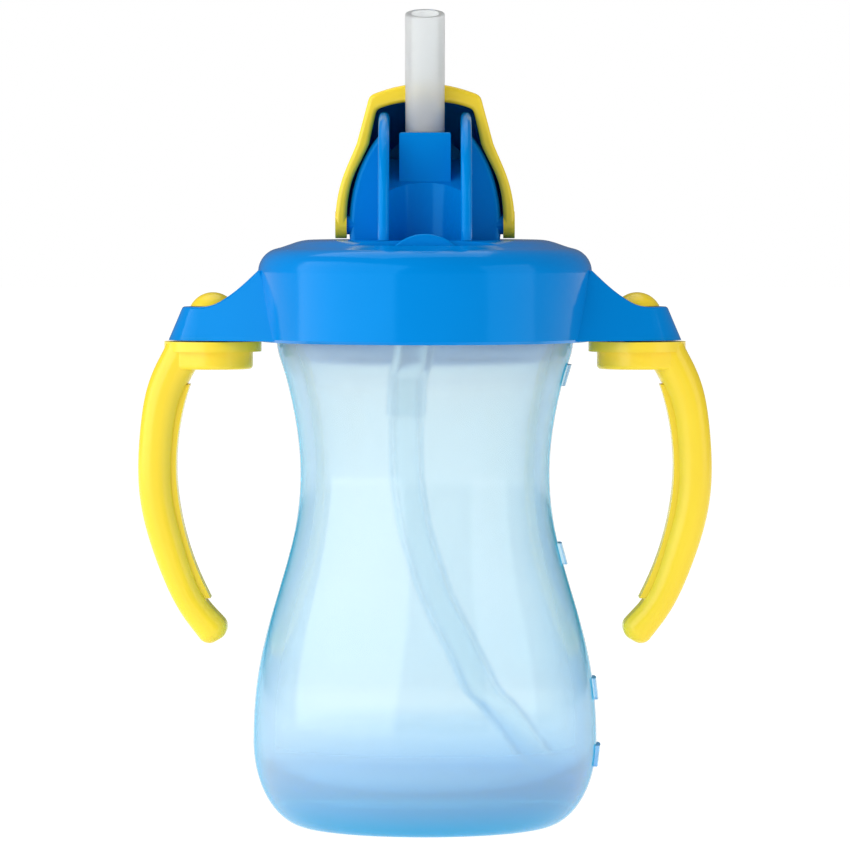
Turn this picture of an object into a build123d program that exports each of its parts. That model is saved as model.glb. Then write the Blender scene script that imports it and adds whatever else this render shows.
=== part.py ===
from build123d import *
import math
import os

# Straw training cup with swivelling handles and a rotating hood. Millimetres, +Z up, front towards -Y.
# Origin: centre of the bottle's foot, on the surface that the cup stands on.

os.makedirs("parts", exist_ok=True)

# Bottle
foot_inner_radius = 22.8
base_curve_radius = 24.6
base_curve_height = 18.0
body_radius = 36.1
waist_radius = 26.2
waist_height = 72.3
shoulder_radius = 31.2
shoulder_height = 102.2
wall = 1.9
floor_height = 7.5
recess_height = 5.0
recess_radius = 16.5
neck_radius = 30.0
neck_base_height = 104.4
mouth_radius = 28.2
rim_height = 116.5
mark_proud = 0.8
mark_depth = 0.6
mark_arc = 15.0

# Screw thread between the bottle's neck and the cap, right-handed, single start
thread_pitch = 4.5
thread_rise = 5.2
thread_start = 107.6
thread_depth = 1.45
thread_root_width = 2.2
thread_crest_width = 1.2
thread_embed = 0.25

# Sealing gasket
gasket_thickness = 1.8
gasket_outer_radius = 31.6
gasket_inner_radius = 28.3

# Cap
cap_radius = 35.0
cap_bottom = 101.9
cap_inner_radius = 31.9
cap_shoulder = 5.0
cap_ring_height = 121.5
ceiling_height = rim_height + gasket_thickness
plinth_radius = 23.8
plinth_height = 123.2
pivot_x = 44.5
ear_radius = 9.3
ear_root_half_width = 16.6
ear_root_x = 28.0
ear_bottom = 102.2
ear_top = 109.2
ear_draft = 23.0
stud_radius = 2.45
stud_bore_radius = 2.5
button_radius = 4.7
button_height = 2.9

# Hood, hinged about a line parallel to X
hinge_height = 126.3
frame_front = -2.8
frame_back = 1.2
knuckle_radius = 2.8
hinge_pin_radius = 2.0
hinge_bore_radius = 2.06
hood_half_width = 18.8
hood_outer_radius = 29.6
hood_inner_half_width = 16.4
hood_inner_radius = 25.9
hood_wall = hood_half_width - hood_inner_half_width
shell_inset = 0.7
shell_trailing = 0.8

# Straw housing
dome_half_width = 15.9
dome_radius = 23.6
dome_front = -2.0
dome_wall = 2.0
slot_bottom = 138.0
slot_back = 14.0
hinge_pin_root = 14.5
hinge_pin_end = 17.7
rib_inner = 7.4
rib_outer = 9.7
rib_radius = 23.7
straw_y = -5.6
block_half_width = 5.35
block_front = -10.6
block_back = -0.6
block_top = 145.6
shelf_height = 135.1
shelf_slope = 25.0
trough_radius = 9.5
trough_deepest = -11.2
catch_radius = 9.2
catch_front = -25.1
catch_back = -22.6
catch_top = 124.6
catch_ledge_height = 122.2
catch_ledge_back = -23.75
spigot_radius = 6.2
spigot_bottom = 115.0
straw_bore_radius = 4.25

# Straw
straw_radius = 4.1
straw_bore = 2.4
straw_lean = 15.0
straw_tip_length = 25.7
flange_radius = 6.2
flange_thickness = 2.0
socket_radius = 3.0
socket_length = 10.0
tube_radius = 3.6
tube_bore = 2.4
tube_spigot_radius = 2.95
tube_spigot_bore = 2.2

# Vent
vent_y = 12.5
vent_hole_radius = 1.4
vent_disc_radius = 3.6

# Handles
disc_radius = 10.2
disc_bottom = 99.8
disc_top = 101.9
boss_radius = 8.4
boss_bottom = 96.1
arm_end_x = 50.2
stud_bottom = 97.5
# grip sections: inner and outer points (x, z) of the +X handle, from the arm to the tip
grip_stations = (
    ((46.6, 101.6), (54.1, 101.6)),
    ((48.9, 94.6), (57.1, 95.4)),
    ((52.0, 86.8), (59.2, 87.3)),
    ((53.1, 76.2), (60.1, 76.5)),
    ((52.4, 67.0), (59.3, 66.4)),
    ((49.9, 57.4), (56.0, 55.2)),
    ((46.0, 47.9), (51.3, 45.2)),
    ((41.9, 43.2), (47.5, 40.0)),
)
grip_width = 13.0
grip_rounding = 0.44
grip_tip_reach = 2.6
grip_tip_rounding = 2.5
liner_points = ((44.9, 48.0), (47.1, 52.6), (51.3, 66.5), (52.15, 76.0), (50.9, 87.0), (49.2, 93.0))
liner_half_width = 4.1
liner_proud = 1.0
liner_depth = 2.0
liner_clearance = 0.1


def thread_section(plane, root, crest):
    """Draws one tooth of the screw thread, from its root (buried in the wall) to its crest."""
    half_root = thread_root_width / 2
    half_crest = thread_crest_width / 2
    with BuildSketch(plane) as tooth:
        with BuildLine():
            Polyline(
                (root, -half_root), (crest, -half_crest), (crest, half_crest), (root, half_root), close=True
            )
        make_face()
    return tooth


# ---------------------------------------------------------------- bottle
with BuildPart() as bottle:
    with BuildSketch(Plane.XZ):
        with BuildLine():
            # outside: foot, rounded base, waist, shoulder and neck
            Line((foot_inner_radius, 0), (base_curve_radius, 0))
            EllipticalCenterArc(
                (base_curve_radius, base_curve_height),
                body_radius - base_curve_radius,
                base_curve_height,
                start_angle=-90,
                arc_size=90,
            )
            Spline(
                (body_radius, base_curve_height),
                (35.1, 32.0),
                (31.5, 47.1),
                (27.4, 62.0),
                (waist_radius, waist_height),
                (27.6, 87.5),
                (30.0, 97.0),
                (shoulder_radius, shoulder_height),
                tangents=((0, 1), (0.1, 1)),
            )
            Line((shoulder_radius, shoulder_height), (shoulder_radius, shoulder_height + 1))
            Line((shoulder_radius, shoulder_height + 1), (neck_radius, neck_base_height))
            Line((neck_radius, neck_base_height), (neck_radius, rim_height))
            # rim and inside, one wall in from the outside
            Line((neck_radius, rim_height), (mouth_radius, rim_height))
            Line((mouth_radius, rim_height), (mouth_radius, shoulder_height))
            Spline(
                (mouth_radius, shoulder_height),
                (27.8, 97.0),
                (27.6 - wall, 87.5),
                (waist_radius - wall, waist_height),
                (27.4 - wall, 62.0),
                (31.5 - wall, 47.1),
                (35.1 - wall, 32.0),
                (body_radius - wall, base_curve_height),
                tangents=((0, -1), (0, -1)),
            )
            EllipticalCenterArc(
                (base_curve_radius, base_curve_height),
                body_radius - base_curve_radius - wall,
                base_curve_height - floor_height,
                start_angle=-90,
                arc_size=90,
            )
            Line((base_curve_radius, floor_height), (0, floor_height))
            # recess under the floor
            Line((0, floor_height), (0, recess_height))
            Line((0, recess_height), (recess_radius, recess_height))
            Spline(
                (recess_radius, recess_height),
                (foot_inner_radius, 0),
                tangents=((1, 0), (0.45, -1)),
            )
        make_face()
    revolve(axis=Axis.Z)
    # volume marks, raised pads on the right-hand side: (bottom height, radius, top height, radius)
    for low, low_radius, high, high_radius in (
        (12.8, 35.6, 17.2, 36.1),
        (26.9, 35.7, 31.3, 35.2),
        (55.2, 29.2, 59.6, 28.0),
        (92.6, 28.7, 97.0, 30.0),
    ):
        with BuildSketch(Plane.XZ.rotated((0, 0, -mark_arc / 2))):
            with BuildLine():
                Polyline(
                    (low_radius - mark_depth, low),
                    (low_radius + mark_proud, low),
                    (high_radius + mark_proud, high),
                    (high_radius - mark_depth, high),
                    close=True,
                )
            make_face()
        revolve(axis=Axis.Z, revolution_arc=mark_arc)
    # outside thread
    with BuildLine() as thread_path:
        Helix(thread_pitch, thread_rise, neck_radius, center=(0, 0, thread_start))
    tooth = thread_section(
        Plane(origin=thread_path.line @ 0, x_dir=(1, 0, 0), z_dir=thread_path.line % 0),
        -thread_embed,
        thread_depth,
    )
    sweep(sections=tooth.sketch, path=thread_path.line, is_frenet=True)
bottle.part.label = "bottle"
export_step(bottle.part, "parts/bottle.step")

# ---------------------------------------------------------------- sealing gasket
with BuildPart() as gasket:
    with BuildSketch(Plane.XY.offset(rim_height)):
        Circle(gasket_outer_radius)
        Circle(gasket_inner_radius, mode=Mode.SUBTRACT)
    extrude(amount=gasket_thickness)
    fillet(gasket.edges().filter_by(GeomType.CIRCLE), 0.35)
gasket.part.label = "gasket"
export_step(gasket.part, "parts/gasket.step")

# ---------------------------------------------------------------- cap
# one ear on the +X side: a drafted tongue whose top sweeps up into the cap
with BuildPart() as ear:
    with BuildSketch(Plane.XY.offset(ear_bottom)):
        with Locations((pivot_x, 0)):
            Circle(ear_radius)
        with Locations((ear_root_x, 0)):
            Rectangle(0.5, 2 * ear_root_half_width)
        make_hull()
    extrude(amount=18, taper=ear_draft)
    with BuildSketch(Plane.XZ):
        with BuildLine():
            Line((60, ear_top), (47.5, ear_top))
            Spline(
                (47.5, ear_top),
                (43.9, 109.8),
                (41.0, 111.5),
                (35.3, 116.4),
                tangents=((-1, 0), (-0.72, 0.7)),
            )
            Line((35.3, 116.4), (29.0, 122.5))
            Polyline((29.0, 122.5), (29.0, 140.0), (60, 140.0), (60, ear_top))
        make_face()
    extrude(amount=30, both=True, mode=Mode.SUBTRACT)
    ear_rim = ear.edges().filter_by(lambda e: e.center().Z > ear_top - 1 and e.center().X > 30)
    fillet(ear_rim, 0.7)

# crescent that the closed hood clicks over
with BuildPart() as catch_bump:
    with BuildSketch(Plane.XZ.offset(-catch_back)):
        with Locations((0, catch_top - catch_radius)):
            Circle(catch_radius)
    extrude(amount=catch_back - catch_front)
    split(bisect_by=Plane.XY.offset(ceiling_height + 2), keep=Keep.TOP)
    fillet(catch_bump.edges().filter_by(GeomType.CIRCLE), 0.4)

with BuildPart() as cap:
    with BuildSketch(Plane.XZ):
        with BuildLine():
            Line((cap_inner_radius + 0.5, cap_bottom), (cap_radius - 0.6, cap_bottom))
            Line((cap_radius - 0.6, cap_bottom), (cap_radius, cap_bottom + 0.6))
            Line((cap_radius, cap_bottom + 0.6), (cap_radius, cap_ring_height - cap_shoulder))
            CenterArc(
                (cap_radius - cap_shoulder, cap_ring_height - cap_shoulder),
                cap_shoulder,
                start_angle=0,
                arc_size=78,
            )
        with BuildLine():
            shoulder_end = (
                cap_radius - cap_shoulder + cap_shoulder * math.cos(math.radians(78)),
                cap_ring_height - cap_shoulder + cap_shoulder * math.sin(math.radians(78)),
            )
            Spline(
                shoulder_end,
                (plinth_radius, plinth_height),
                tangents=((-math.sin(math.radians(78)), math.cos(math.radians(78))), (-1, 0)),
            )
            Polyline(
                (plinth_radius, plinth_height),
                (0, plinth_height),
                (0, ceiling_height),
                (cap_inner_radius, ceiling_height),
                (cap_inner_radius, cap_bottom + 0.5),
                (cap_inner_radius + 0.5, cap_bottom),
            )
        make_face()
    revolve(axis=Axis.Z)
    add(ear.part)
    add(ear.part.mirror(Plane.YZ))
    # low ledge in front of the housing, for the catch
    with BuildSketch(Plane.XY.offset(catch_ledge_height)):
        with Locations((0, catch_ledge_back)):
            Rectangle(2 * cap_radius, 2 * cap_radius, align=(Align.CENTER, Align.MAX))
    extrude(amount=10, mode=Mode.SUBTRACT)
    add(catch_bump.part)
    # the cavity stays clear of the ears' roots
    with BuildSketch(Plane.XY.offset(cap_bottom)):
        Circle(cap_inner_radius)
    extrude(amount=ceiling_height - cap_bottom, mode=Mode.SUBTRACT)
    # bores for the handle studs, with a seat for each button
    with BuildSketch(Plane.XY.offset(cap_bottom)):
        with Locations((-pivot_x, 0), (pivot_x, 0)):
            Circle(stud_bore_radius)
    extrude(amount=20, mode=Mode.SUBTRACT)
    with BuildSketch(Plane.XY.offset(ear_top)):
        with Locations((-pivot_x, 0), (pivot_x, 0)):
            Circle(button_radius + 0.2)
    extrude(amount=10, mode=Mode.SUBTRACT)
    # holes for the straw's spigot and the vent valve
    with BuildSketch(Plane.XY.offset(ceiling_height)):
        with Locations((0, straw_y)):
            Circle(spigot_radius + 0.1)
        with Locations((0, vent_y)):
            Circle(vent_hole_radius)
    extrude(amount=plinth_height - ceiling_height, mode=Mode.SUBTRACT)
    # inside thread, half a pitch below the bottle's
    with BuildLine() as cap_thread_path:
        Helix(thread_pitch, thread_rise, cap_inner_radius, center=(0, 0, thread_start - thread_pitch / 2))
    cap_tooth = thread_section(
        Plane(
            origin=cap_thread_path.line @ 0,
            x_dir=(-1, 0, 0),
            z_dir=cap_thread_path.line % 0,
        ),
        -thread_embed,
        thread_depth,
    )
    sweep(sections=cap_tooth.sketch, path=cap_thread_path.line, is_frenet=True)
cap.part.label = "cap"
export_step(cap.part, "parts/cap.step")

# ---------------------------------------------------------------- straw housing
hinge_line = Axis((0, 0, hinge_height), (1, 0, 0))
hinge_plane = Plane(origin=(0, 0, hinge_height), x_dir=(1, 0, 0), z_dir=(0, -1, 0))
with BuildPart() as dome_hollow:
    with BuildSketch(hinge_plane):
        Ellipse(dome_half_width - dome_wall, dome_radius - dome_wall)
        with Locations((0, -dome_radius)):
            Rectangle(60, 2 * dome_radius, mode=Mode.SUBTRACT)
    revolve(axis=hinge_line)
    with BuildSketch(Plane.XY.offset(plinth_height - 10)):
        Rectangle(2 * rib_inner, 4 * dome_radius)
    extrude(amount=60, mode=Mode.INTERSECT)
with BuildPart() as dome:
    # dome: an ellipse turned about the hinge line, rear half only
    with BuildSketch(hinge_plane):
        Ellipse(dome_half_width, dome_radius)
        with Locations((0, -dome_radius)):
            Rectangle(60, 2 * dome_radius, mode=Mode.SUBTRACT)
    revolve(axis=hinge_line)
    split(bisect_by=Plane.XZ.offset(-dome_front), keep=Keep.BOTTOM)
    split(bisect_by=Plane.XY.offset(plinth_height), keep=Keep.TOP)
    dome_rim = dome.faces().sort_by(Axis.Y)[0].edges()
    fillet(dome_rim.filter_by(lambda e: e.center().Z > plinth_height + 1), 1.2)
    # hollow between the ribs, behind the straw, open at the front
    add(dome_hollow.part, mode=Mode.SUBTRACT)
    with BuildSketch(Plane.XY.offset(plinth_height)):
        with Locations((0, dome_front - 2)):
            Rectangle(2 * rib_inner, 14)
    extrude(amount=40, mode=Mode.SUBTRACT)
    # the hollow is open to the hood above the straw's block
    with BuildSketch(Plane.XY.offset(slot_bottom)):
        Rectangle(2 * rib_inner, 2 * slot_back)
    extrude(amount=40, mode=Mode.SUBTRACT)
with BuildPart() as ribs:
    # two upright ribs, quarter discs in front of the dome
    with BuildSketch(Plane.YZ.offset(rib_inner)):
        with Locations((0, hinge_height)):
            Circle(rib_radius)
        with Locations((40, hinge_height)):
            Rectangle(80, 100, mode=Mode.SUBTRACT)
        with Locations((0, plinth_height - 20)):
            Rectangle(80, 40, mode=Mode.SUBTRACT)
    extrude(amount=rib_outer - rib_inner)
    rim = ribs.edges().filter_by(lambda e: e.length > 25)
    fillet(rim, 1.1)
    mirror(about=Plane.YZ)
with BuildPart() as trough:
    # hollow-fronted base between the ribs, with a sloping shelf
    with BuildSketch(Plane.XY.offset(plinth_height)):
        with Locations((0, -9.3)):
            Rectangle(2 * rib_inner, 17.4)
        with Locations((0, trough_deepest - trough_radius)):
            Circle(trough_radius, mode=Mode.SUBTRACT)
    extrude(amount=20)
    shelf = Plane(
        origin=(0, trough_deepest, shelf_height),
        x_dir=(1, 0, 0),
        z_dir=(0, -math.sin(math.radians(shelf_slope)), math.cos(math.radians(shelf_slope))),
    )
    split(bisect_by=shelf, keep=Keep.BOTTOM)
    # block that grips the straw
    with BuildSketch(Plane.XY.offset(plinth_height)):
        with Locations((0, (block_front + block_back) / 2)):
            Rectangle(2 * block_half_width, block_back - block_front)
    extrude(amount=block_top - plinth_height)
    block_edges = trough.edges().filter_by(lambda e: e.center().Z > 141)
    fillet(block_edges, 0.5)
with BuildPart() as housing:
    add(dome.part)
    add(ribs.part)
    add(trough.part)
    # hinge pins for the hood
    for side in (-1, 1):
        with BuildSketch(Plane.YZ.offset(side * hinge_pin_root)):
            with Locations((0, hinge_height)):
                Circle(hinge_pin_radius)
        extrude(amount=side * (hinge_pin_end - hinge_pin_root))
    # spigot through the cap
    with BuildSketch(Plane.XY.offset(spigot_bottom)):
        with Locations((0, straw_y)):
            Circle(spigot_radius)
    extrude(amount=plinth_height - spigot_bottom + 1)
    with BuildSketch(Plane.XY.offset(spigot_bottom)):
        with Locations((0, straw_y)):
            Circle(straw_bore_radius)
    extrude(amount=40, mode=Mode.SUBTRACT)
housing.part.label = "straw_housing"
export_step(housing.part, "parts/straw_housing.step")

# ---------------------------------------------------------------- hood
def half_outline(side_points, corner_points, crown):
    """Draws half of an outline over the hinge line: a bowed side, a straight run and a crowned top."""
    corner_start, corner_middle, corner_end = corner_points
    Spline(*side_points, tangents=((0, 1), (-0.4, 1)))
    Line(side_points[-1], corner_start)
    Spline(corner_start, corner_middle, corner_end, tangents=((-0.27, 1), (-1, 0.36)))
    Spline(corner_end, (0, crown), tangents=((-1, 0.36), (-1, 0)))


def hood_outline(inset):
    """Draws the hood's outline over the hinge line, from pin to pin, moved in by inset."""
    half = hood_half_width - inset
    with BuildLine() as outline:
        half_outline(
            [(half, 0), (17.2 - inset, 10.0), (14.3 - inset, 17.0)],
            [(12.1 - inset, 25.2 - inset), (11.6 - inset, 26.7 - inset), (10.3 - inset, 27.6 - inset)],
            hood_outer_radius - inset,
        )
        mirror(about=Plane.YZ)
        Line((half, 0), (-half, 0))
    return outline


def hood_cavity():
    """Draws the inside of the hood over the hinge line."""
    half = hood_inner_half_width
    with BuildLine() as outline:
        half_outline(
            [(half, 0), (15.0, 10.0), (11.7, 17.0)],
            [(10.35, 23.2), (9.9, 24.1), (9.0, 24.6)],
            hood_inner_radius,
        )
        mirror(about=Plane.YZ)
        Line((half, 0), (-half, 0))
    return outline


with BuildPart() as hood_frame:
    with BuildSketch(hinge_plane.offset(-frame_back)):
        add(hood_outline(0).line)
        make_face()
        with BuildSketch(mode=Mode.SUBTRACT):
            add(hood_cavity().line)
            make_face()
    extrude(amount=frame_back - frame_front)
    front_edges = hood_frame.faces().sort_by(Axis.Y)[0].edges()
    fillet(front_edges.filter_by(lambda e: e.center().Z > hinge_height + 1), 0.9)
    # knuckles with blind bores for the hinge pins
    for side in (-1, 1):
        with BuildSketch(Plane.YZ.offset(side * hood_inner_half_width)):
            with Locations((0, hinge_height)):
                Circle(knuckle_radius)
        extrude(amount=side * hood_wall)
        with BuildSketch(Plane.YZ.offset(side * (hood_inner_half_width - 1))):
            with Locations((0, hinge_height)):
                Circle(hinge_bore_radius)
        extrude(amount=side * (hood_wall + 0.2), mode=Mode.SUBTRACT)
hood_frame.part.label = "hood_frame"
export_step(hood_frame.part, "parts/hood_frame.step")

with BuildPart() as hood_shell:
    with BuildSketch(hinge_plane):
        add(hood_outline(shell_inset).line)
        make_face()
        with BuildSketch(mode=Mode.SUBTRACT):
            add(hood_cavity().line)
            make_face()
    revolve(axis=hinge_line)
    split(bisect_by=Plane.XZ.offset(-frame_back), keep=Keep.BOTTOM)
    split(bisect_by=Plane.XY.offset(hinge_height + shell_trailing), keep=Keep.TOP)
    # room for the frame's knuckles
    with BuildSketch(Plane.YZ):
        with Locations((0, hinge_height)):
            Circle(knuckle_radius)
    extrude(amount=hood_half_width + 1, both=True, mode=Mode.SUBTRACT)
hood_shell.part.label = "hood_shell"
export_step(hood_shell.part, "parts/hood_shell.step")

# ---------------------------------------------------------------- straw
lean = math.radians(straw_lean)
with BuildPart() as straw_tip:
    tip_plane = Plane(
        origin=(0, straw_y, block_top), x_dir=(1, 0, 0), z_dir=(0, -math.sin(lean), math.cos(lean))
    )
    with BuildSketch(tip_plane.offset(-3)):
        Circle(straw_radius)
    extrude(amount=straw_tip_length + 3)
    with BuildSketch(tip_plane.offset(-4)):
        Circle(straw_bore)
    extrude(amount=straw_tip_length + 5, mode=Mode.SUBTRACT)
    split(bisect_by=Plane.XY.offset(block_top), keep=Keep.TOP)
    fillet(straw_tip.faces().sort_by(Axis.Z)[-1].edges(), 0.7)
straw_tip.part.label = "straw_tip"
export_step(straw_tip.part, "parts/straw_tip.step")

# the mouthpiece below the block: through the housing, a sealing flange, then a sleeve over the tube
straw_plane = Plane.XZ.offset(-straw_y)
sleeve_points = ((0, block_top), (0, 110.0), (-3.6, 96.5), (-3.9, 86.5))
with BuildPart() as straw_sleeve:
    with BuildLine(straw_plane) as sleeve_path:
        FilletPolyline(*sleeve_points, radius=(22.0, 18.0))
    with BuildSketch(Plane.XY.offset(block_top)):
        with Locations((0, straw_y)):
            Circle(straw_radius)
            Circle(straw_bore, mode=Mode.SUBTRACT)
    sweep(path=sleeve_path.line)
    with BuildSketch(Plane.XY.offset(spigot_bottom - flange_thickness)):
        with Locations((0, straw_y)):
            Circle(flange_radius)
            Circle(straw_bore, mode=Mode.SUBTRACT)
    extrude(amount=flange_thickness)
    sleeve_end = Plane(origin=sleeve_path.line @ 1, x_dir=(0, 1, 0), z_dir=sleeve_path.line % 1)
    with BuildSketch(sleeve_end):
        Circle(socket_radius)
    extrude(amount=-socket_length, mode=Mode.SUBTRACT)
straw_sleeve.part.label = "straw_sleeve"
export_step(straw_sleeve.part, "parts/straw_sleeve.step")

tube_points = ((-3.9, 86.2), (-3.9, 74.0), (-2.1, 62.5), (2.6, 47.5), (11.5, 30.5), (26.2, 10.8))
tube_radii = (80.0, 60.0, 60.0, 60.0)
with BuildPart() as straw_tube:
    with BuildLine(straw_plane) as tube_path:
        FilletPolyline(*tube_points, radius=tube_radii)
    with BuildSketch(Plane.XY.offset(tube_points[0][1])):
        with Locations((tube_points[0][0], straw_y)):
            Circle(tube_radius)
            Circle(tube_bore, mode=Mode.SUBTRACT)
    sweep(path=tube_path.line)
    # spigot, up into the sleeve and a little way down into the tube
    for reach in (1 - socket_length, 1):
        with BuildSketch(sleeve_end):
            Circle(tube_spigot_radius)
            Circle(tube_spigot_bore, mode=Mode.SUBTRACT)
        extrude(amount=reach)
straw_tube.part.label = "straw_tube"
export_step(straw_tube.part, "parts/straw_tube.step")

# ---------------------------------------------------------------- vent valve
with BuildPart() as vent_valve:
    with BuildSketch(Plane.XZ.offset(-vent_y)):
        with BuildLine():
            Polyline(
                (0, plinth_height - 0.6),
                (vent_hole_radius - 0.05, plinth_height - 0.6),
                (vent_hole_radius - 0.05, ceiling_height),
                (vent_disc_radius, ceiling_height),
                (vent_disc_radius, ceiling_height - 1.1),
                (1.9, ceiling_height - 1.6),
                (1.1, ceiling_height - 5.8),
                (0, ceiling_height - 5.8),
                close=True,
            )
        make_face()
    revolve(axis=Axis((0, vent_y, 0), (0, 0, 1)))
    # slit of the duckbill
    with BuildSketch(Plane.XY.offset(ceiling_height - 5.8)):
        with Locations((0, vent_y)):
            Rectangle(1.6, 0.25)
    extrude(amount=2.5, mode=Mode.SUBTRACT)
vent_valve.part.label = "vent_valve"
export_step(vent_valve.part, "parts/vent_valve.step")

# ---------------------------------------------------------------- handles
def station_plane(inner, outer, forward=0.0):
    """The plane of one section of the grip, through its inner and outer points, facing the tip."""
    thickness = math.dist(inner, outer)
    across = (outer[0] - inner[0]) / thickness
    rise = (outer[1] - inner[1]) / thickness
    middle_x = (inner[0] + outer[0]) / 2 + forward * rise
    middle_z = (inner[1] + outer[1]) / 2 - forward * across
    return Plane(origin=(middle_x, 0, middle_z), x_dir=(across, 0, rise), z_dir=(rise, 0, -across))


def liner_edge(shift):
    """The edge of the liner strip, moved outwards by shift."""
    return Spline(*((x + shift, z) for x, z in liner_points), tangents=((0.5, 1), (-0.35, 1)))


def liner_outline(near, far):
    """Draws the side view of the liner strip between two shifts of its edge."""
    with BuildSketch(Plane.XZ) as outline:
        with BuildLine():
            liner_edge(near)
            liner_edge(far)
            for x, z in (liner_points[0], liner_points[-1]):
                Line((x + near, z), (x + far, z))
        make_face()
    return outline


# arm and pivot boss of the +X handle
with BuildPart() as arm:
    with BuildSketch(Plane.XY.offset(boss_bottom)):
        with Locations((pivot_x, 0)):
            Circle(boss_radius)
        with Locations((arm_end_x, 0)):
            RectangleRounded(7.8, grip_width, 3.2)
        make_hull()
    extrude(amount=disc_top - 0.3 - boss_bottom)
    fillet(arm.faces().sort_by(Axis.Z)[0].edges(), 0.8)
    with BuildSketch(Plane.XY.offset(disc_bottom)):
        with Locations((pivot_x, 0)):
            Circle(disc_radius)
    extrude(amount=disc_top - disc_bottom)

# the grip: rounded sections from the arm down to the tip
with BuildPart() as grip:
    for inner, outer in grip_stations:
        with BuildSketch(station_plane(inner, outer)):
            thickness = math.dist(inner, outer)
            RectangleRounded(thickness, grip_width, grip_rounding * thickness)
    with BuildSketch(station_plane(inner, outer, grip_tip_reach)):
        thickness = 0.95 * math.dist(inner, outer)
        RectangleRounded(thickness, grip_width, grip_rounding * thickness)
    loft()
    fillet(grip.faces().sort_by(Axis.Z)[0].edges(), grip_tip_rounding)
    add(arm.part)
    # blind bore for the stud, channel for the liner
    with BuildSketch(Plane.XY.offset(stud_bottom)):
        with Locations((pivot_x, 0)):
            Circle(stud_bore_radius)
    extrude(amount=20, mode=Mode.SUBTRACT)
    channel = liner_outline(-1.0, liner_proud + liner_depth)
    extrude(channel.sketch, amount=liner_half_width + liner_clearance, both=True, mode=Mode.SUBTRACT)

with BuildPart() as liner:
    strip = liner_outline(0, liner_proud + liner_depth - liner_clearance)
    extrude(strip.sketch, amount=liner_half_width, both=True)
    split(bisect_by=Plane.XY.offset(liner_points[0][1] + liner_clearance), keep=Keep.TOP)
    split(bisect_by=Plane.XY.offset(liner_points[-1][1] - liner_clearance), keep=Keep.BOTTOM)

# stud: a domed button on a shaft that runs down through the ear into the handle
button_curve = (button_radius**2 + button_height**2) / (2 * button_height)
button_top = ear_top + 0.1 + button_height
with BuildPart() as stud:
    with BuildSketch(Plane.XZ):
        with BuildLine():
            Polyline(
                (pivot_x, stud_bottom + 0.2),
                (pivot_x + stud_radius, stud_bottom + 0.2),
                (pivot_x + stud_radius, ear_top + 0.1),
                (pivot_x + button_radius, ear_top + 0.1),
            )
            RadiusArc((pivot_x + button_radius, ear_top + 0.1), (pivot_x, button_top), -button_curve)
            Line((pivot_x, button_top), (pivot_x, stud_bottom + 0.2))
        make_face()
    revolve(axis=Axis((pivot_x, 0, 0), (0, 0, 1)))

for side, name in ((-1, "handle_left"), (1, "handle_right")):
    for piece, suffix in ((grip.part, ""), (liner.part, "_liner"), (stud.part, "_stud")):
        placed = piece if side > 0 else piece.mirror(Plane.YZ)
        placed.label = name + suffix
        export_step(placed, f"parts/{name}{suffix}.step")
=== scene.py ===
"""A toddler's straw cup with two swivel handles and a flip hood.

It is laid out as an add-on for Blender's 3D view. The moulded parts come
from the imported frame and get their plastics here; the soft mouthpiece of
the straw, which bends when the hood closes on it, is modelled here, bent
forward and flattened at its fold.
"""

import math

import bpy
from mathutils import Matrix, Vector


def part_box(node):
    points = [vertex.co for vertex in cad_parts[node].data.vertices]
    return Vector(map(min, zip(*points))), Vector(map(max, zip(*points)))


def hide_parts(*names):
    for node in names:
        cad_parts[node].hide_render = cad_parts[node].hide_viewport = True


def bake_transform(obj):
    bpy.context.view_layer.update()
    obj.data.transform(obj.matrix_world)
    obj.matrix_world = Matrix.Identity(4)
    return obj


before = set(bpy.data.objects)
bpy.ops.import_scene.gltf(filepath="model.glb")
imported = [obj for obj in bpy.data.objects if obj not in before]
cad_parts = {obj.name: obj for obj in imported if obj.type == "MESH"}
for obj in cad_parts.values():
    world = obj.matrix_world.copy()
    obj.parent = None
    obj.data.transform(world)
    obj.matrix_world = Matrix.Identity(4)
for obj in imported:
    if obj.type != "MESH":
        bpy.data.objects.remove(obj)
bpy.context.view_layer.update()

bl_info = {
    "name": "Straw Cup",
    "version": (1, 0, 0),
    "blender": (4, 5, 0),
    "location": "View3D > Sidebar > Straw Cup",
    "description": "Plastics, straw and studio for a toddler's straw cup",
    "category": "Object",
}

MM = 0.001
WHITE = (1.0, 1.0, 1.0)
# light spreads equally far in each colour under a milky surface
EVEN_SPREAD = (1.0, 1.0, 1.0)

# the pitch in mm of each pattern in the plastics
SHRINK_WAVES = 14
FLOW_MARKS = 22
GLOSS_HAZE = 4
ORANGE_PEEL = 1.6
SILICONE_CLOUD = 6
SILICONE_GRAIN = 0.7

# the clear wall's outline is painted deeper, partly for the dye along the wall and partly as
# painted shade: how narrow its band is, and where it is deepest
OUTLINE_POWER = 3.0
OUTLINE_DEEPEST = 0.6
# the share of its clearness, and the shine, that the wall keeps there; less of both is
# painted shade
OUTLINE_CLEARNESS = 0.35
WALL_SHINE, OUTLINE_SHINE = 0.14, 0.04

# how far flow marks change the colour, and haze the roughness
PALEST, DEEPEST = 1.05, 0.93
GLOSSIEST, DULLEST = 0.85, 1.2

# the mouthpiece's rim: steps in its rounding, and the edges that get it
RIM_STEPS = 5
RIM_ANGLE = math.radians(60)
SMOOTH_ANGLE = math.radians(50)
ROUND_SIDES = 64

# how strongly the bottle's dye takes light from a ray, per metre
DYE_DENSITY = 70.0
# the part of the bottle's foot that is painted deeper in colour, painted light for the glow
# through its thick base
PAINTED_FOOT_TOP = 22 * MM

# the softboxes: where they stand, and their width and height, in metres
KEY_PLACE, KEY_SIZE = (-1.05, -0.65, 0.55), (2.2, 1.3)
FILL_PLACE, FILL_SIZE = (1.1, -0.6, 0.45), (0.9, 0.9)
TOP_PLACE, TOP_SIZE = (-0.1, 0.3, 1.1), (0.9, 0.9)
FLOOR_SIDE = 14.0


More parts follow.
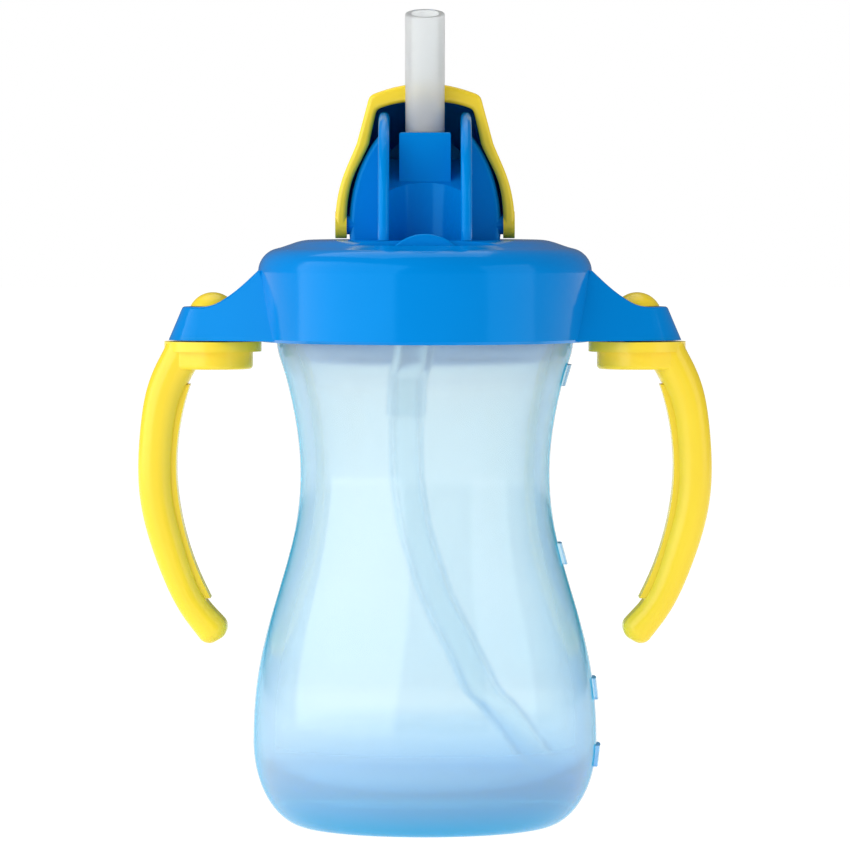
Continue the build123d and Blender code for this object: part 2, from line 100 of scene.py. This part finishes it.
# ------------------------------------------------------------ small helpers
def hex_colour(text):
    """An sRGB colour such as #0088E0, as the linear numbers shaders take."""
    channels = [int(text[i : i + 2], 16) / 255 for i in (1, 3, 5)]
    return tuple(
        c / 12.92 if c <= 0.04045 else ((c + 0.055) / 1.055) ** 2.4 for c in channels
    )


def rgba(colour):
    return (*colour, 1.0)


def deselect_all():
    for obj in bpy.context.selected_objects:
        obj.select_set(False)


def per_metre(pitch_mm):
    """The scale of a pattern whose features repeat every pitch_mm."""
    return 1 / (pitch_mm * MM)


def start_material(name):
    """An empty node tree with its output and Object coordinates."""
    material = bpy.data.materials.new(name)
    material.use_nodes = True
    tree = material.node_tree
    tree.nodes.clear()
    place = tree.nodes.new("ShaderNodeTexCoord").outputs["Object"]
    output = tree.nodes.new("ShaderNodeOutputMaterial")
    return material, tree, place, output


def node(tree, kind, values=None, links=None, **settings):
    """Adds a node, sets its sockets and settings, and links what feeds it."""
    made = tree.nodes.new(kind)
    for name, value in settings.items():
        setattr(made, name, value)
    for socket, value in (values or {}).items():
        made.inputs[socket].default_value = value
    for socket, source in (links or {}).items():
        tree.links.new(source, made.inputs[socket])
    return made


def give(material, *names):
    """Puts the material in the slots of these CAD nodes."""
    for name in names:
        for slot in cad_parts[name].material_slots:
            slot.material = material


# ---------------------------------------------------------------- settings
def colour(name, description, text):
    return bpy.props.FloatVectorProperty(
        name=name,
        description=description,
        subtype="COLOR",
        size=3,
        min=0.0,
        max=1.0,
        default=hex_colour(text),
    )


def length(name, description, millimetres):
    return bpy.props.FloatProperty(
        name=name,
        description=description,
        default=millimetres * MM,
        unit="LENGTH",
    )


class CupColours(bpy.types.PropertyGroup):
    bottle: colour("Bottle", "Tint of the bottle seen square on", "#F4F8F9")
    # the bottle's edge tint below is painted: painted shade over the dye along the outline,
    # and painted light at the foot
    bottle_painted_tint: colour("Bottle edge", "Tint where the wall curves away", "#04B4E6")
    bottle_mass: colour("Bottle mass", "Colour that deepens with thickness", "#00CEEA")
    bottle_light: colour("Bottle light", "Light that lamps send through the wall", "#E4F4FB")
    blue: colour("Blue", "Cap, straw housing and hood", "#0085D9")
    yellow: colour("Yellow", "Handles and hood frame", "#FFDC32")
    silicone: colour("Silicone", "Soft mouthpiece of the straw", "#F8FCFD")
    tube: colour("Tube", "Drinking tube in the bottle", "#F2F9FC")
    # the tube's edge tint below is painted shade over the dye along its outline
    tube_edge_shade: colour("Tube edge", "Tint where the tube curves away", "#9CC4DA")
    blue_gloss: colour("Blue gloss", "Tint of the light the blue mirrors", "#4FB4F0")
    seal: colour("Seal", "Gasket and vent valve", "#E9EFEF")
    floor: colour("Floor", "Studio floor", "#F4F4F2")


class MouthpieceSizes(bpy.types.PropertyGroup):
    radius: length("Radius", "Outer radius of the mouthpiece", 4.1)
    wall: length("Wall", "Wall of the silicone", 1.3)
    bend: length("Bend radius", "Radius of the bend above the block", 12.0)
    lean: bpy.props.FloatProperty(
        name="Lean",
        description="How far the mouthpiece leans to the front",
        default=math.radians(15.0),
        subtype="ANGLE",
    )
    rim: length("Rim", "Rounding of the drinking end", 0.7)
    ring: length("Ring spacing", "Spacing of the rings that let it bend", 0.5)
    fold: length("Fold", "Height of the flattened fold above the block", 4.0)
    fold_reach: length("Fold reach", "How far the flattening runs from the fold", 12.0)
    fold_keep: bpy.props.FloatProperty(
        name="Fold depth",
        description="Share of the depth left at the fold, to give the hood room",
        default=0.5,
        min=0.2,
        max=1.0,
    )


class StudioSettings(bpy.types.PropertyGroup):
    distance: length("Distance", "From the cup to the camera", 1300.0)
    height: length("Height", "Of the camera above the floor", 134.0)
    aim: length("Aim", "Height that the camera looks at", 84.3)
    frame_width: length("Frame width", "Width seen at the cup", 178.5)
    key: bpy.props.FloatProperty(
        name="Key", description="Power of the large softbox on the left", default=18.0
    )
    fill: bpy.props.FloatProperty(
        name="Fill", description="Power of the softbox on the right", default=3.2
    )
    top: bpy.props.FloatProperty(
        name="Top", description="Power of the softbox overhead", default=3.0
    )
    ambient: bpy.props.FloatProperty(
        name="Ambient", description="Light of the white room", default=0.34
    )
    mirrored: bpy.props.FloatProperty(
        name="Mirrored", description="The room as gloss mirrors it", default=0.15
    )


# --------------------------------------------------------------- materials
def clear_plastic(name, middle, edge, passes, roughness, clearness, ior, painted_foot_top=MM):
    """A clear polymer whose outline is deeper in colour than its middle.

    The deeper outline is partly the dye seen along the wall and partly
    painted shade. It bends what is behind it. Lamps shine through it, so that it
    doesn't throw a black shadow on what it holds. The tube and its sleeve end
    above the usual painted_foot_top, so only the bottle has a foot painted
    deeper, which is painted light.
    """
    material, tree, place, output = start_material(name)
    glancing = node(tree, "ShaderNodeLayerWeight", {"Blend": 0.5})
    # the power keeps the deep tint, painted shade over the dye along the wall, to a narrow
    # band along the outline
    outline = node(
        tree,
        "ShaderNodeMath",
        {1: OUTLINE_POWER},
        {0: glancing.outputs["Facing"]},
        operation="POWER",
    )
    band = node(
        tree,
        "ShaderNodeMapRange",
        {"From Min": 0.0, "From Max": OUTLINE_DEEPEST},
        {"Value": outline.outputs["Value"]},
    )
    # the wall thickens towards its foot; painting it as deep in colour as the outline there
    # is painted light, standing in for the glow through the thick base
    height = node(tree, "ShaderNodeSeparateXYZ", links={"Vector": place})
    foot = node(
        tree,
        "ShaderNodeMapRange",
        {"From Min": painted_foot_top, "From Max": 0.0, "To Min": 0.0, "To Max": 1.0},
        {"Value": height.outputs["Z"]},
    )
    deeper = node(
        tree,
        "ShaderNodeMath",
        links={0: band.outputs["Result"], 1: foot.outputs["Result"]},
        operation="MAXIMUM",
    )
    deep = deeper.outputs["Value"]
    tint = node(
        tree,
        "ShaderNodeMix",
        {"A": rgba(middle), "B": rgba(edge)},
        {"Factor": deep},
        data_type="RGBA",
    )
    # slow waves that a clear moulding keeps as it shrinks
    waves = node(
        tree,
        "ShaderNodeTexNoise",
        {"Scale": per_metre(SHRINK_WAVES), "Detail": 1.0},
        {"Vector": place},
    )
    surface = node(
        tree,
        "ShaderNodeBump",
        {"Strength": 0.15, "Distance": 0.05 * MM},
        {"Height": waves.outputs["Fac"]},
    )
    # painted shade along the outline and painted light at the foot: there the wall is made
    # less clear and mirrors less
    clear = node(
        tree,
        "ShaderNodeMapRange",
        {"To Min": clearness, "To Max": clearness * OUTLINE_CLEARNESS},
        {"Value": deep},
    )
    shine = node(
        tree,
        "ShaderNodeMapRange",
        {"To Min": WALL_SHINE, "To Max": OUTLINE_SHINE},
        {"Value": deep},
    )
    plastic = node(
        tree,
        "ShaderNodeBsdfPrincipled",
        {"Roughness": roughness, "IOR": ior},
        {
            "Base Color": tint.outputs["Result"],
            "Transmission Weight": clear.outputs["Result"],
            "Specular IOR Level": shine.outputs["Result"],
            "Normal": surface.outputs["Normal"],
        },
    )
    ray = node(tree, "ShaderNodeLightPath")
    passed = node(tree, "ShaderNodeBsdfTransparent", {"Color": rgba(passes)})
    both = node(
        tree,
        "ShaderNodeMixShader",
        links={0: ray.outputs["Is Shadow Ray"], 1: plastic.outputs[0], 2: passed.outputs[0]},
    )
    tree.links.new(both.outputs["Shader"], output.inputs["Surface"])
    return material


def copolyester(tints):
    """Clear blue copolyester, injection moulded.

    Its dye gathers where a ray runs far in it. The outline is painted bluer,
    partly for the dye along the wall and partly as painted shade, and the thick
    floor is painted bluer as painted light.
    """
    material = clear_plastic(
        "moulded clear blue copolyester",
        tints.bottle,
        tints.bottle_painted_tint,
        tints.bottle_light,
        roughness=0.12,
        clearness=0.84,
        ior=1.5,
        painted_foot_top=PAINTED_FOOT_TOP,
    )
    tree = material.node_tree
    dye = node(
        tree,
        "ShaderNodeVolumeAbsorption",
        {"Color": rgba(tints.bottle_mass), "Density": DYE_DENSITY},
    )
    output = tree.get_output_node("ALL")
    tree.links.new(dye.outputs["Volume"], output.inputs["Volume"])
    return material


def polypropylene(name, tint, gloss_tint, roughness, subsurface):
    """Opaque polypropylene, injection moulded in a polished tool.

    It is glossy but a little waxy, with a faint orange peel in the gloss
    and slow flow marks in the colour.
    """
    material, tree, place, output = start_material(name)
    flow = node(
        tree,
        "ShaderNodeTexNoise",
        {"Scale": per_metre(FLOW_MARKS), "Detail": 2.0},
        {"Vector": place},
    )
    shade = node(
        tree,
        "ShaderNodeMix",
        {
            "A": rgba([c * DEEPEST for c in tint]),
            "B": rgba([min(1, c * PALEST) for c in tint]),
        },
        {"Factor": flow.outputs["Fac"]},
        data_type="RGBA",
    )
    haze = node(
        tree,
        "ShaderNodeTexNoise",
        {"Scale": per_metre(GLOSS_HAZE), "Detail": 3.0},
        {"Vector": place},
    )
    gloss = node(
        tree,
        "ShaderNodeMapRange",
        {"To Min": roughness * GLOSSIEST, "To Max": roughness * DULLEST},
        {"Value": haze.outputs["Fac"]},
    )
    # orange peel is near 1 mm; it is drawn at 1.6 mm so that it shows
    peel = node(
        tree,
        "ShaderNodeTexNoise",
        {"Scale": per_metre(ORANGE_PEEL), "Detail": 1.0},
        {"Vector": place},
    )
    surface = node(
        tree,
        "ShaderNodeBump",
        {"Strength": 0.12, "Distance": 0.03 * MM},
        {"Height": peel.outputs["Fac"]},
    )
    plastic = node(
        tree,
        "ShaderNodeBsdfPrincipled",
        {
            "IOR": 1.49,
            "Specular Tint": rgba(gloss_tint),
            "Subsurface Weight": subsurface,
            "Subsurface Radius": EVEN_SPREAD,
            "Subsurface Scale": 1.2 * MM,
        },
        {
            "Base Color": shade.outputs["Result"],
            "Roughness": gloss.outputs["Result"],
            "Normal": surface.outputs["Normal"],
        },
    )
    tree.links.new(plastic.outputs["BSDF"], output.inputs["Surface"])
    return material


def soft_translucent(name, tint, roughness, clearness, ior):
    """A milky polymer that lets light through but blurs what is behind it."""
    material, tree, place, output = start_material(name)
    cloud = node(
        tree,
        "ShaderNodeTexNoise",
        {"Scale": per_metre(SILICONE_CLOUD), "Detail": 2.0},
        {"Vector": place},
    )
    milk = node(
        tree,
        "ShaderNodeMix",
        {"A": rgba([c * 0.95 for c in tint]), "B": rgba(tint)},
        {"Factor": cloud.outputs["Fac"]},
        data_type="RGBA",
    )
    grain = node(
        tree,
        "ShaderNodeTexNoise",
        {"Scale": per_metre(SILICONE_GRAIN), "Detail": 2.0},
        {"Vector": place},
    )
    surface = node(
        tree,
        "ShaderNodeBump",
        {"Strength": 0.1, "Distance": 0.02 * MM},
        {"Height": grain.outputs["Fac"]},
    )
    soft = node(
        tree,
        "ShaderNodeBsdfPrincipled",
        {
            "Roughness": roughness,
            "IOR": ior,
            "Transmission Weight": clearness,
            "Subsurface Weight": 1.0,
            "Subsurface Radius": EVEN_SPREAD,
            "Subsurface Scale": 2.0 * MM,
        },
        {
            "Base Color": milk.outputs["Result"],
            "Normal": surface.outputs["Normal"],
        },
    )
    tree.links.new(soft.outputs["BSDF"], output.inputs["Surface"])
    return material


# --------------------------------------------------------------- operators
class CUP_OT_bottle(bpy.types.Operator):
    """Gives the bottle its clear blue plastic"""

    bl_idname = "cup.bottle"
    bl_label = "Bottle"

    def execute(self, context):
        give(copolyester(context.scene.cup_colours), "bottle")
        return {"FINISHED"}


class CUP_OT_blue_parts(bpy.types.Operator):
    """Gives the cap, the straw housing and the hood their blue plastic"""

    bl_idname = "cup.blue_parts"
    bl_label = "Cap and hood"

    def execute(self, context):
        tints = context.scene.cup_colours
        name = "glossy moulded blue polypropylene"
        material = polypropylene(name, tints.blue, tints.blue_gloss, 0.13, 0.0)
        give(material, "cap", "straw_housing", "hood_shell")
        return {"FINISHED"}


class CUP_OT_yellow_parts(bpy.types.Operator):
    """Gives the handles, their studs and the hood's frame yellow plastic"""

    bl_idname = "cup.yellow_parts"
    bl_label = "Handles and frame"

    def execute(self, context):
        tint = context.scene.cup_colours.yellow
        name = "glossy moulded yellow polypropylene"
        material = polypropylene(name, tint, WHITE, 0.24, 0.15)
        parts = ("", "_liner", "_stud")
        sides = [f"handle_{side}{part}" for side in ("left", "right") for part in parts]
        give(material, "hood_frame", *sides)
        return {"FINISHED"}


class CUP_OT_seals(bpy.types.Operator):
    """Gives the gasket and the vent valve their silicone"""

    bl_idname = "cup.seals"
    bl_label = "Seals"

    def execute(self, context):
        tint = context.scene.cup_colours.seal
        material = soft_translucent("moulded white silicone", tint, 0.4, 0.15, 1.41)
        give(material, "gasket", "vent_valve")
        return {"FINISHED"}


class CUP_OT_drinking_tube(bpy.types.Operator):
    """Gives the drinking tube clear polyethylene and its sleeve clear silicone"""

    bl_idname = "cup.drinking_tube"
    bl_label = "Drinking tube"

    def execute(self, context):
        tints = context.scene.cup_colours
        # tube and sleeve both get an outline tint that is painted shade over the dye along
        # the wall
        tube = clear_plastic(
            "extruded natural polyethylene",
            tints.tube,
            tints.tube_edge_shade,
            tints.tube,
            roughness=0.12,
            clearness=1.0,
            ior=1.3,
        )
        give(tube, "straw_tube")
        sleeve = clear_plastic(
            "moulded clear silicone sleeve",
            tints.tube,
            tints.tube_edge_shade,
            tints.tube,
            roughness=0.2,
            clearness=1.0,
            ior=1.12,
        )
        give(sleeve, "straw_sleeve")
        return {"FINISHED"}


class CUP_OT_mouthpiece(bpy.types.Operator):
    """Models the soft mouthpiece bent forward and flattened at its fold; the real one folds
    down when the hood closes
    """

    bl_idname = "cup.mouthpiece"
    bl_label = "Mouthpiece"

    def execute(self, context):
        sizes = context.scene.mouthpiece_sizes
        low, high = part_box("straw_tip")
        root = Vector((0, high.y - sizes.radius, low.z))
        deselect_all()
        bpy.ops.mesh.primitive_circle_add(
            vertices=ROUND_SIDES,
            radius=sizes.radius,
            fill_type="NOTHING",
            location=root,
        )
        mouthpiece = context.object
        mouthpiece.name = "mouthpiece"
        bpy.ops.object.mode_set(mode="EDIT")
        bpy.ops.mesh.select_all(action="SELECT")
        arc = sizes.bend * sizes.lean
        # spin turns by the left-hand rule, so a forward lean is negative
        bpy.ops.mesh.spin(
            steps=math.ceil(arc / sizes.ring),
            angle=-sizes.lean,
            center=root - Vector((0, sizes.bend, 0)),
            axis=(1, 0, 0),
        )
        along = Vector((0, -math.sin(sizes.lean), math.cos(sizes.lean)))
        rise = sizes.bend * math.sin(sizes.lean)
        top_of_ring = high.z - sizes.radius * math.sin(sizes.lean)
        run = (top_of_ring - root.z - rise) / along.z
        rings = math.ceil(run / sizes.ring)
        for _ in range(rings):
            bpy.ops.mesh.extrude_region_move(
                TRANSFORM_OT_translate={"value": along * (run / rings)}
            )
        bpy.ops.mesh.select_all(action="SELECT")
        bpy.ops.mesh.remove_doubles(threshold=0.001 * MM)
        bpy.ops.mesh.normals_make_consistent(inside=False)
        bpy.ops.object.mode_set(mode="OBJECT")
        self.flatten_fold(mouthpiece, sizes, root)
        walls = mouthpiece.modifiers.new("wall", "SOLIDIFY")
        walls.thickness = sizes.wall
        walls.offset = -1.0
        walls.use_even_offset = True
        bpy.ops.object.modifier_apply(modifier=walls.name)
        rounding = mouthpiece.modifiers.new("rim", "BEVEL")
        rounding.width = sizes.rim
        rounding.segments = RIM_STEPS
        rounding.limit_method = "ANGLE"
        rounding.angle_limit = RIM_ANGLE
        bpy.ops.object.modifier_apply(modifier=rounding.name)
        bpy.ops.object.transform_apply(location=True, rotation=True, scale=True)
        bpy.ops.object.shade_smooth_by_angle(angle=SMOOTH_ANGLE)
        tint = context.scene.cup_colours.silicone
        silicone = soft_translucent("moulded clear silicone", tint, 0.28, 0.68, 1.41)
        mouthpiece.data.materials.append(silicone)
        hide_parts("straw_tip")
        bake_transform(mouthpiece)
        return {"FINISHED"}

    def flatten_fold(self, mouthpiece, sizes, root):
        """Flattens the tube towards its front where it folds over the block."""
        for vertex in mouthpiece.data.vertices:
            rise = vertex.co.z - root.z
            near = max(0.0, 1 - ((rise - sizes.fold) / sizes.fold_reach) ** 2)
            share = near * near * (3 - 2 * near)
            # the middle line leans forwards once it has left the bend
            angle = min(sizes.lean, math.asin(max(0.0, min(1.0, rise / sizes.bend))))
            straight = max(0.0, rise - sizes.bend * math.sin(sizes.lean))
            bent = sizes.bend * (1 - math.cos(angle)) + straight * math.tan(angle)
            front = root.y - bent - sizes.radius
            kept = 1 - (1 - sizes.fold_keep) * share
            vertex.co.y = front + (vertex.co.y - front) * kept


class CUP_OT_studio(bpy.types.Operator):
    """Lays the floor and sets the lights and the camera"""

    bl_idname = "cup.studio"
    bl_label = "Studio"

    def execute(self, context):
        scene = context.scene
        studio = scene.studio_settings
        deselect_all()
        bpy.ops.mesh.primitive_plane_add(size=FLOOR_SIDE, location=(0, 0, 0))
        floor = context.object
        floor.name = "floor"
        floor.data.materials.append(self.floor_finish(scene.cup_colours.floor))
        self.room(scene, studio.ambient, studio.mirrored)
        self.softbox("key", KEY_PLACE, KEY_SIZE, studio.key)
        self.softbox("fill", FILL_PLACE, FILL_SIZE, studio.fill)
        self.softbox("top", TOP_PLACE, TOP_SIZE, studio.top)
        camera = bpy.data.cameras.new("camera")
        viewer = bpy.data.objects.new("camera", camera)
        scene.collection.objects.link(viewer)
        viewer.location = (0, -studio.distance, studio.height)
        look = Vector((0, 0, studio.aim)) - viewer.location
        viewer.rotation_euler = look.to_track_quat("-Z", "Y").to_euler()
        camera.lens = camera.sensor_width * look.length / studio.frame_width
        scene.camera = viewer
        scene.view_settings.view_transform = "Standard"
        return {"FINISHED"}

    def floor_finish(self, tint):
        """Matt white painted board."""
        material, tree, _, output = start_material("matt white painted board")
        paint = node(
            tree,
            "ShaderNodeBsdfPrincipled",
            {
                "Base Color": rgba([c * 0.15 for c in tint]),
                "Roughness": 0.7,
                "Specular IOR Level": 0.2,
                "Emission Color": rgba(tint),
                "Emission Strength": 1.1,
            },
        )
        tree.links.new(paint.outputs["BSDF"], output.inputs["Surface"])
        return material

    def room(self, scene, ambient, mirrored):
        """A white room: full white where it is seen, softer where it lights."""
        world = bpy.data.worlds.new("white room")
        scene.world = world
        world.use_nodes = True
        tree = world.node_tree
        tree.nodes.clear()
        ray = node(tree, "ShaderNodeLightPath")
        seen = node(
            tree,
            "ShaderNodeMath",
            links={0: ray.outputs["Is Camera Ray"], 1: ray.outputs["Is Transmission Ray"]},
            operation="MAXIMUM",
        )
        unseen = node(
            tree,
            "ShaderNodeMix",
            {"A": ambient, "B": mirrored},
            {"Factor": ray.outputs["Is Glossy Ray"]},
        )
        strength = node(
            tree,
            "ShaderNodeMix",
            {"B": 1.0},
            {"Factor": seen.outputs[0], "A": unseen.outputs["Result"]},
        )
        light = node(
            tree,
            "ShaderNodeBackground",
            {"Color": (1, 1, 1, 1)},
            {"Strength": strength.outputs["Result"]},
        )
        node(tree, "ShaderNodeOutputWorld", links={"Surface": light.outputs[0]})

    def softbox(self, name, place, size, power):
        """A softbox aimed at the cup's middle, and seen only in its gloss."""
        lamp = bpy.data.lights.new(name, "AREA")
        lamp.shape = "RECTANGLE"
        lamp.size, lamp.size_y = size
        lamp.energy = power
        holder = bpy.data.objects.new(name, lamp)
        bpy.context.scene.collection.objects.link(holder)
        holder.location = place
        aim = Vector((0, 0, 85 * MM)) - Vector(place)
        holder.rotation_euler = aim.to_track_quat("-Z", "Y").to_euler()
        holder.visible_camera = False
        holder.visible_transmission = False


class CUP_PT_panel(bpy.types.Panel):
    """The cup's operators and settings"""

    bl_idname = "CUP_PT_panel"
    bl_label = "Straw Cup"
    bl_space_type = "VIEW_3D"
    bl_region_type = "UI"
    bl_category = "Straw Cup"

    def draw(self, context):
        scene = context.scene
        for operator in OPERATORS:
            self.layout.operator(operator.bl_idname)
        for group in (scene.cup_colours, scene.mouthpiece_sizes, scene.studio_settings):
            box = self.layout.box()
            for name in group.__annotations__:
                box.prop(group, name)


GROUPS = {
    "cup_colours": CupColours,
    "mouthpiece_sizes": MouthpieceSizes,
    "studio_settings": StudioSettings,
}
OPERATORS = (
    CUP_OT_bottle,
    CUP_OT_blue_parts,
    CUP_OT_yellow_parts,
    CUP_OT_seals,
    CUP_OT_drinking_tube,
    CUP_OT_mouthpiece,
    CUP_OT_studio,
)


def register():
    for group in GROUPS.values():
        bpy.utils.register_class(group)
    for name, group in GROUPS.items():
        setattr(bpy.types.Scene, name, bpy.props.PointerProperty(type=group))
    for operator in OPERATORS:
        bpy.utils.register_class(operator)
    bpy.utils.register_class(CUP_PT_panel)


def unregister():
    bpy.utils.unregister_class(CUP_PT_panel)
    for operator in reversed(OPERATORS):
        bpy.utils.unregister_class(operator)
    for name in GROUPS:
        delattr(bpy.types.Scene, name)
    for group in reversed(GROUPS.values()):
        bpy.utils.unregister_class(group)


def main():
    register()
    for operator in OPERATORS:
        family, action = operator.bl_idname.split(".")
        getattr(getattr(bpy.ops, family), action)()


if __name__ == "__main__":
    main()
